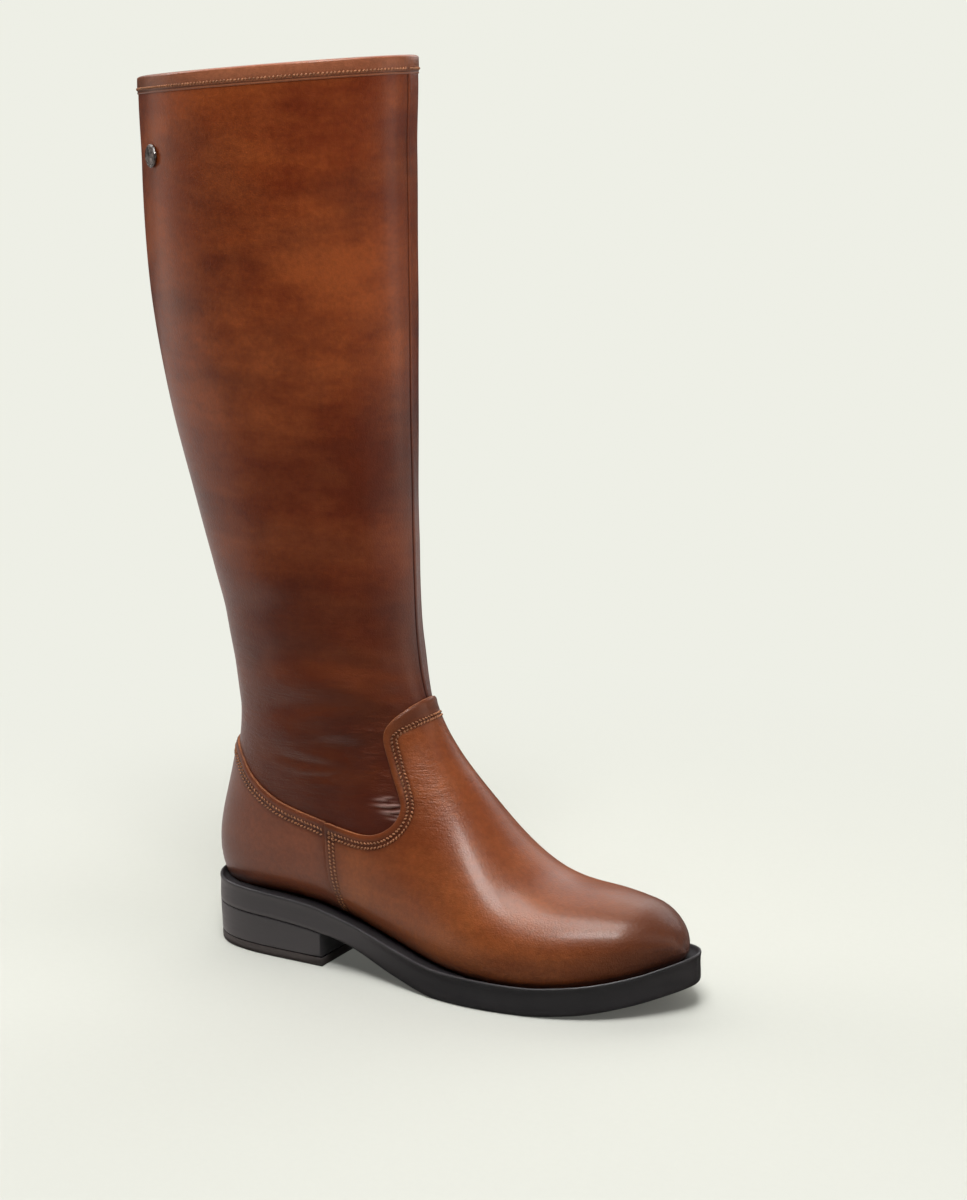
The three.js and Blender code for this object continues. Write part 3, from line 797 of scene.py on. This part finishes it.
def counter_burnish_and_shade(points, from_edge, from_seam):
    x, z = points[:, 0], points[:, 2]
    heel = 0.60 * ease(-x, -42, -2)
    # Painted shade where the upper meets the sole's lip.
    painted_sole_shade = 0.02 * bell(np.maximum(z - lip_height(x), 0), 5)
    # Painted shade: darker beside the side seam, where the vamp laps over the counter.
    return heel + painted_sole_shade + 0.35 * bell(from_seam, 6) + 0.15 * bell(from_edge, 5) \
        + 0.20 * bell(from_edge - 5.0, 2.0)


def vamp():
    rings = np.concatenate([-TOE_CAP * (1 - np.linspace(0.004, 1, 18))[:-1],
                            np.linspace(0, 206, 190)])
    around = np.linspace(-math.pi, math.pi, 301)
    overlay("vamp_leather_cut", rings, around, VAMP_OUTLINE, SEAM_LINE, VAMP_LINE, VAMP_LEATHER,
            "vamp", vamp_burnish_and_shade, 0.45)


def heel_counter():
    rings = np.linspace(128, 240, 120)
    around = np.linspace(math.radians(55), math.radians(305), 200)
    overlay("counter_leather_cut", rings, around, COUNTER_OUTLINE, SEAM_LINE - [GAP, 0],
            COUNTER_LINE - [GAP, 0], COUNTER_LEATHER, "heel_counter",
            counter_burnish_and_shade, 0.0)


def sew():
    """Every stitch in one mesh: a short arched capsule that dips in at both ends."""
    share = np.array([-0.5, -0.42, -0.2, 0.2, 0.42, 0.5])
    thick = np.array([0.15, 0.75, 1.0, 1.0, 0.75, 0.15])
    rise = np.array([-0.30, -0.05, 0.14, 0.14, -0.05, -0.30])
    ring = np.linspace(0, 2 * math.pi, 6, endpoint=False)
    points, faces = [], []
    for row, (line, normals) in enumerate(stitches):
        both = resample(np.hstack([line, normals]), 0.4)
        length = np.linalg.norm(np.diff(both[:, :3], axis=0), axis=1).sum()
        count = max(2, int(length / STITCH_PITCH))
        picks = np.linspace(0, len(both) - 1, count * 2 + 1)[1::2]
        for pick in picks:
            i = int(round(pick))
            centre, normal = both[i, :3], both[i, 3:] / np.linalg.norm(both[i, 3:])
            ahead = both[min(i + 2, len(both) - 1), :3] - both[max(i - 2, 0), :3]
            ahead = ahead / max(np.linalg.norm(ahead), 1e-9)
            ahead = ahead + np.cross(normal, ahead) * STITCH_SLANT * (-1) ** row
            ahead = ahead / np.linalg.norm(ahead)
            aside = np.cross(normal, ahead)
            start = len(points)
            for s, t, r in zip(share, thick, rise):
                middle = centre + ahead * s * STITCH_LENGTH + normal * r
                for turn in ring:
                    points.append(middle + STITCH_RADIUS * t
                                  * (aside * math.cos(turn) + normal * math.sin(turn)))
            faces += [list(f + start) for f in grid_faces(6, 6)]
            faces += [list(range(start + 5, start - 1, -1)), list(range(start + 30, start + 36))]
    piece("stitching", np.array(points), faces, THREAD)


# ------------------------------------------------------------------ the sole
def turn_at(along):
    return np.arccos(np.clip(1 - 2 * np.asarray(along, float) / PATTERN_LENGTH, -1, 1))


def along_at(turn):
    return PATTERN_LENGTH * (1 - np.cos(turn)) / 2


lateral_edge = smooth(turn_at(PLAN_LATERAL[:, 0]), PLAN_LATERAL[:, 1])
medial_edge = smooth(turn_at(PLAN_MEDIAL[:, 0]), PLAN_MEDIAL[:, 1])
underside = steady(SOLE_SIDE[:, 0], SOLE_SIDE[:, 1])
lip_height = steady(SOLE_SIDE[:, 0], SOLE_SIDE[:, 2])


def outline(inset, to=PATTERN_LENGTH, steps=260):
    """The sole's edge in plan, moved in: up the lateral side and back down the medial."""
    turn = np.linspace(0, turn_at(to), steps)
    sides = []
    for edge, side in ((lateral_edge, -1), (medial_edge, 1)):
        out = edge(turn)[:, 0]
        ahead = along_at(turn + 1e-3) - along_at(turn - 1e-3)
        aside = (edge(turn + 1e-3) - edge(turn - 1e-3))[:, 0]
        size = np.hypot(ahead, aside)
        along = along_at(turn) + aside / size * inset
        across = out - ahead / size * inset
        along[0], across[0] = inset, 0
        if to == PATTERN_LENGTH:
            along[-1], across[-1] = PATTERN_LENGTH - inset, out[-1]
        sides.append(np.stack([along, side * across], -1))
    return np.vstack([sides[0], sides[1][::-1]])


def bed_height(x, y):
    """The top of the sole inside its ledge: just under the upper's own underside."""
    drop = lip_height(x) - 2.0
    heights = np.empty(len(x))
    for i, (px, py) in enumerate(zip(x, y)):
        hit = LAST_TREE.ray_cast(Vector((px, py, -60)), Vector((0, 0, 1)))[0]
        heights[i] = min(drop[i], hit.z) if hit is not None else drop[i]
    return heights


def coarse_last():
    """The upper's outside with its overlays, for dropping the sole's bed onto."""
    rings = np.concatenate([-TOE_CAP * np.linspace(0.98, 0.1, 8), np.linspace(0, 330, 60)])
    around = np.linspace(0, 2 * math.pi, 72, endpoint=False)
    points = skin(*np.meshgrid(rings, around, indexing="ij"), out=PROUD + GAP).reshape(-1, 3)
    faces = grid_faces(len(rings), len(around)).tolist() + [list(range(71, -1, -1))]
    return BVHTree.FromPolygons([tuple(p) for p in points], faces)


LAST_TREE = coarse_last()


def lid(edge, steps, first, height, across=34, up=True):
    """Points and faces closing an outline with a height function of (x, y)."""
    lateral, medial = edge[:steps], edge[steps:][::-1]
    share = np.linspace(0, 1, across + 1)[1:-1]
    inner = lateral[:, None] + (medial - lateral)[:, None] * share[None, :, None]
    flat = inner.reshape(-1, 2)
    points = np.column_stack([flat, height(flat[:, 0], flat[:, 1])])
    index = np.empty((steps, across + 1), int)
    index[:, 0] = np.arange(steps)
    index[:, -1] = 2 * steps - 1 - np.arange(steps)
    index[:, 1:-1] = first + np.arange(len(flat)).reshape(steps, -1)
    quads = np.stack([index[:-1, :-1], index[:-1, 1:], index[1:, 1:], index[1:, :-1]], -1)
    quads = quads.reshape(-1, 4)
    return points, quads if not up else quads[:, ::-1]


def slab(name, layers, under, over, material, node, to=PATTERN_LENGTH, steps=300):
    """A slab of the sole's outline. Each layer has an inset and a height function;
    `under` and `over` give the heights of its two closing faces."""
    edges_in_plan = [outline(inset, to, steps) for inset, _ in layers]
    rings = [np.column_stack([edge, height(edge[:, 0])])
             for edge, (_, height) in zip(edges_in_plan, layers)]
    points = np.vstack(rings)
    around = 2 * steps
    faces = [grid_faces(len(rings), around)]
    for edge, ring_at, height, up in ((edges_in_plan[0], 0, under, False),
                                      (edges_in_plan[-1], len(rings) - 1, over, True)):
        extra, quads = lid(edge, steps, 10 ** 7, height, up=up)
        quads = np.where(quads >= 10 ** 7, quads - 10 ** 7 + len(points), quads + ring_at * around)
        faces.append(quads)
        points = np.vstack([points, extra])
    piece(name, points, np.vstack(faces), material, [node])


def sole():
    """The outsole: a raised lip, a ledge inside it, and fine ribs under the forefoot."""
    def at(rise, base=underside):
        return lambda x: base(x) + rise

    def rounded(rise):
        return lambda x: underside(x) + rise * (0.2 + 0.8 * ease(x, 75, 84))

    def wall(share):
        return lambda x: underside(x) + (lip_height(x) - underside(x)) * share

    lip = ((0.25, -3.0), (0.1, -2.0), (0.0, -1.3), (0.0, -0.7), (0.15, -0.25), (0.45, 0),
           (0.9, 0.05), (1.3, -0.05), (1.6, -0.4), (1.75, -1.0), (2.3, -1.7), (4.0, -2.0))
    layers = [(3.2, at(0)), (1.9, at(0)), (0.9, rounded(0.2)), (0.35, rounded(0.7)),
              (0.1, rounded(1.4)), (0.05, at(2.4)), (0.1, wall(0.35)), (0.2, wall(0.55)),
              (0.25, wall(0.7)), *((inset, at(rise, lip_height)) for inset, rise in lip)]

    def ribs(x, y):
        forefoot = ease(x, 146, 152) * ease(-x, -240, -232)
        return underside(x) + 0.8 * forefoot * (np.sin(x * 2 * math.pi / 3.1) > 0)

    slab("outsole_rubber", layers, ribs, bed_height, SOLE_RUBBER, "outsole",
         steps=420)


def heel():
    """The heel block, and the rubber top piece it stands on."""
    def level(height):
        return lambda x: np.full(np.shape(x), float(height))

    def below(drop):
        return lambda x: underside(x) - GAP - drop

    def between(share):
        return lambda x: LIFT + GAP + (underside(x) - 2 * GAP - LIFT) * share

    low = LIFT + GAP
    slab("heel_block_rubber",
         [(2.2, level(low)), (1.2, level(low)), (0.75, level(low + 0.25)), (0.6, level(low + 0.8)),
          (0.5, between(0.3)), (0.3, between(0.6)), (0.15, below(0.8)), (0.17, below(0.12)),
          (0.35, below(0)), (1.8, below(0))],
         lambda x, y: level(low)(x), lambda x, y: below(0)(x), SOLE_RUBBER,
         "heel_block", to=HEEL_LENGTH, steps=150)
    slab("heel_lift_rubber",
         [(2.8, level(0)), (1.6, level(0)), (1.0, level(0.25)), (0.75, level(0.9)),
          (0.65, level(2.2)), (0.65, level(3.5)), (0.75, level(4.35)), (1.2, level(LIFT)),
          (2.4, level(LIFT))],
         lambda x, y: level(0)(x), lambda x, y: level(LIFT)(x), LIFT_RUBBER,
         "heel_lift", to=HEEL_LENGTH, steps=150)


def stud():
    """A plain domed disc with a bevelled rim, standing where the CAD's stud is."""
    low, high = map(np.array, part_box("stud"))
    place = ((low + high) / 2 - np.array([SOLE_LOW[0], 0, 0])) / SCALE
    near, best = None, 1e9
    for s in np.linspace(COLLAR - 60, COLLAR - 15, 91):
        for a in np.radians(np.linspace(90, 170, 161)):
            gap = np.linalg.norm(skin(s, a, GAP) - place)
            if gap < best:
                near, best = (s, a), gap
    normal = outward(*near)
    base = skin(*near, out=GAP)
    side = np.cross(normal, [0, 0, 1])
    side /= np.linalg.norm(side)
    up = np.cross(side, normal)
    profile = [(5.7, -0.1), (6.0, 0.3), (6.0, 0.75), (5.75, 1.15), (5.4, 1.35), (5.1, 1.35),
               (4.8, 1.1), (4.5, 1.05), (3.0, 1.3), (1.5, 1.45), (0.05, 1.5)]
    turns = np.linspace(0, 2 * math.pi, 64, endpoint=False)
    points = np.array([base + normal * rise
                       + STUD_SCALE * radius * (side * math.cos(t) + up * math.sin(t))
                       for radius, rise in profile for t in turns])
    faces = grid_faces(len(profile), 64).tolist()
    faces += [list(range(63, -1, -1)), list(range((len(profile) - 1) * 64, len(profile) * 64))]
    piece("stud_disc", points, faces, STUD_METAL, ["stud"])


# ------------------------------------------------------------------ building
shaft()
lining()
binding()
vamp()
heel_counter()
sew()
sole()
heel()
stud()
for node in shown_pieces():
    if node.name == "insole":
        node.data.materials.clear()
        node.data.materials.append(LINING_LEATHER)


# ------------------------------------------------------------------ studio
PAPER = (0.99, 1.0, 0.915, 1)
PAPER_LIGHT = 0.863             # what the eye gets from it
PAPER_LIT = 0.78                # the studio's share of that, near the boot
PAPER_ALBEDO = 0.48


def paper(name):
    """Pale seamless paper: near the boot part of its light is the studio's, so that
    shadows show; further off it gives it all itself and stays even."""
    material, tree, shader = new_material(name)
    where = add(tree, "TexCoord").outputs["Object"]
    away = add(tree, "VectorMath", {0: where, 1: (0.09, 0, 0)}, operation="DISTANCE")
    near = add(tree, "MapRange", {"Value": away.outputs["Value"], "From Min": 0.16,
                                  "From Max": 0.62, "To Min": 1.0, "To Max": 0.0},
               interpolation_type="SMOOTHSTEP").outputs[0]
    fibres = level(tree, noise(tree, where, 300, detail=3), 0.3, 0.7, 0.985, 1.0)
    share = times(tree, times(tree, near, fibres), PAPER_ALBEDO)
    tree.links.new(blend_colour(tree, share, (0, 0, 0, 1), PAPER),
                   shader.inputs["Base Color"])
    shader.inputs["Roughness"].default_value = 1.0
    shader.inputs["Specular IOR Level"].default_value = 0.0
    shader.inputs["Emission Color"].default_value = PAPER
    own = level(tree, near, 0, 1, PAPER_LIGHT, PAPER_LIGHT - PAPER_LIT)
    tree.links.new(own, shader.inputs["Emission Strength"])
    return material


def staged(name, points, faces, material, hidden_from):
    """A thing of the studio, kept out of some kinds of ray."""
    mesh = bpy.data.meshes.new(name)
    mesh.from_pydata([tuple(map(float, point)) for point in points], [],
                     [tuple(map(int, face)) for face in faces])
    mesh.update()
    mesh.shade_smooth()
    mesh.materials.append(material)
    thing = bpy.data.objects.new(name, mesh)
    bpy.context.scene.collection.objects.link(thing)
    for ray in hidden_from:
        setattr(thing, "visible_" + ray, False)


def backdrop():
    """A floor that sweeps up behind the boot, seen from the camera's side. It is kept
    out of reflections: the boot mirrors only the studio's lights."""
    profile = [(-6.0, 0.0), (1.6, 0.0)]
    profile += [(1.6 + 1.2 * math.sin(t), 1.2 - 1.2 * math.cos(t))
                for t in np.linspace(0.1, math.pi / 2, 16)]
    profile.append((2.8, 5.0))
    points = [view_back * run - view_left * wide + [0, 0, rise]
              for wide in (-7, 7) for run, rise in profile]
    count = len(profile)
    faces = [(count + i, count + i + 1, i + 1, i) for i in range(count - 1)]
    staged("paper", points, faces, paper("paper"), ("glossy",))


def surround():
    """A far ring of the same paper, so that every side of the boot has a pale backdrop."""
    turns = np.linspace(0, 2 * math.pi, 64, endpoint=False)
    points = [(6 * math.cos(t), 6 * math.sin(t), z) for z in (-0.5, 8.0) for t in turns]
    staged("surround", points, grid_faces(2, 64), paper("far_paper"),
           ("glossy", "diffuse", "shadow"))


def area_light(name, where, target, size, watts, colour=(1, 1, 1)):
    data = bpy.data.lights.new(name, "AREA")
    data.shape = "RECTANGLE"
    data.size, data.size_y = size
    data.energy = watts
    data.color = colour
    lamp = bpy.data.objects.new(name, data)
    bpy.context.scene.collection.objects.link(lamp)
    lamp.location = where
    lamp.visible_camera = False
    aim = Vector(target) - Vector(where)
    lamp.rotation_euler = aim.to_track_quat("-Z", "Y").to_euler()


def reflector(name, sideways, depth, strength):
    """A pale card lying by the boot: only its reflection in the leather shows."""
    corners = [studio(sideways[i], depth[j], 0.002) for i, j in ((0, 0), (1, 0), (1, 1), (0, 1))]
    material, _, shader = new_material(name)
    shader.inputs["Base Color"].default_value = (0, 0, 0, 1)
    shader.inputs["Specular IOR Level"].default_value = 0.0
    shader.inputs["Emission Color"].default_value = (1.0, 0.91, 0.87, 1)
    shader.inputs["Emission Strength"].default_value = strength
    staged(name, corners, [(0, 1, 2, 3)], material, ("camera", "diffuse", "shadow"))


def camera():
    data = bpy.data.cameras.new("camera")
    data.lens = 78.96
    data.sensor_width = 36
    data.clip_start, data.clip_end = 0.05, 50
    eye = bpy.data.objects.new("camera", data)
    bpy.context.scene.collection.objects.link(eye)
    place, target = Vector(placed(CAMERA_PLACE)), Vector(placed(CAMERA_TARGET))
    back = (place - target).normalized()
    right = Vector((0, 0, 1)).cross(back).normalized()
    up = back.cross(right)
    turn = math.radians(CAMERA_ROLL)
    right, up = (right * math.cos(turn) + up * math.sin(turn),
                 up * math.cos(turn) - right * math.sin(turn))
    eye.matrix_world = Matrix((right, up, back)).transposed().to_4x4()
    eye.location = place
    bpy.context.scene.camera = eye


CAMERA_PLACE = (736.8, -1078.4, 457.1)
CAMERA_TARGET = (151, -4, 188)
CAMERA_TURN = 28.6
CAMERA_ROLL = -0.2
turned = math.radians(CAMERA_TURN)
view_left = np.array([-math.cos(turned), -math.sin(turned), 0])
view_back = np.array([-math.sin(turned), math.cos(turned), 0])
centre = np.array([0.08, 0, 0.2])


def studio(left, behind, height):
    """A place in the studio, measured to the camera's left, away from it and up."""
    return tuple(centre + view_left * left + view_back * behind + np.array([0, 0, height - 0.2]))


backdrop()
surround()
camera()
WARM = (1.0, 0.80, 0.70)
shin = studio(0, 0, 0.25)
for lamp in (
        ("overhead", studio(0.0, -0.15, 1.9), studio(-0.05, 0, 0.1), (0.85, 0.75), 21),
        ("front_top", studio(0.06, -0.92, 1.80), centre, (0.70, 0.55), 25),
        ("right_front", studio(-1.5, -0.8, 1.1), centre, (0.9, 0.9), 1.8),
        ("left_key", studio(1.5, 0.80, 1.5), centre, (0.7, 0.7), 11),
        ("back_high", studio(0.25, 1.5, 1.7), centre, (2.4, 1.4), 16),
        ("back_right", studio(-1.1, 1.7, 1.0), studio(-0.1, 0, 0.08), (1.6, 1.0), 7),
        ("left_low", studio(1.25, 0.50, 0.36), shin, (0.5, 0.7), 1.0, WARM),
        ("right_low", studio(-1.3, -0.15, 0.40), shin, (0.5, 0.7), 1.5, WARM)):
    area_light(*lamp)
reflector("left_card", (0.06, 2.6), (-0.12, 1.5), 0.75)
reflector("right_card", (-2.6, -0.30), (-1.0, 1.2), 0.95)

world = bpy.data.worlds.new("studio")
world.use_nodes = True
world.node_tree.nodes["Background"].inputs["Color"].default_value = (0.95, 0.97, 1.0, 1)
world.node_tree.nodes["Background"].inputs["Strength"].default_value = 0.02
bpy.context.scene.world = world
bpy.context.scene.view_settings.view_transform = "Standard"
